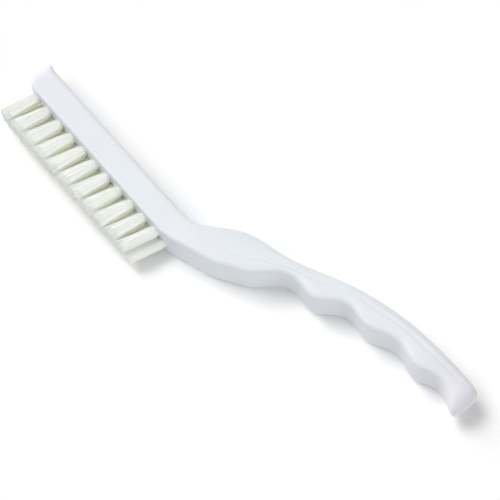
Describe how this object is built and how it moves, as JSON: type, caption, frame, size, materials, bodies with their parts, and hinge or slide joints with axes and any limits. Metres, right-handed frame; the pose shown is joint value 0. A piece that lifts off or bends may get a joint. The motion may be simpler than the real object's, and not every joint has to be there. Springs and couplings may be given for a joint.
{
  "type": "grout brush",
  "caption": "Narrow hand brush with staggered rows of stiff bristle tufts and a bent grip with finger grooves, for scrubbing tile joints.",
  "frame": {"origin": "on the flat side that the brush lies on, under the middle of its box", "axes": "+X from the nose to the hooked end of the grip, -Y the way the bristles point, +Z across the brush's width, up when it lies on its side"},
  "size_m": [0.2178, 0.0686, 0.0165],
  "materials": {
    "handle_plastic": "satin moulded polypropylene, cool white",
    "bristle_nylon": "stiff natural nylon filament, creamy white, cut ends",
    "anchor_wire": "flat drawn wire"
  },
  "bodies": {
    "root": {"handle": "handle_plastic", "tuft_near_01": "bristle_nylon", "tuft_near_02": "bristle_nylon", "tuft_near_03": "bristle_nylon", "tuft_near_04": "bristle_nylon", "tuft_near_05": "bristle_nylon", "tuft_near_06": "bristle_nylon", "tuft_near_07": "bristle_nylon", "tuft_near_08": "bristle_nylon", "tuft_near_09": "bristle_nylon", "tuft_near_10": "bristle_nylon", "tuft_near_11": "bristle_nylon", "tuft_far_01": "bristle_nylon", "tuft_far_02": "bristle_nylon", "tuft_far_03": "bristle_nylon", "tuft_far_04": "bristle_nylon", "tuft_far_05": "bristle_nylon", "tuft_far_06": "bristle_nylon", "tuft_far_07": "bristle_nylon", "tuft_far_08": "bristle_nylon", "tuft_far_09": "bristle_nylon", "tuft_far_10": "bristle_nylon", "tuft_far_11": "bristle_nylon", "anchors_near": "anchor_wire", "anchors_far": "anchor_wire"}
  },
  "joints": []
}
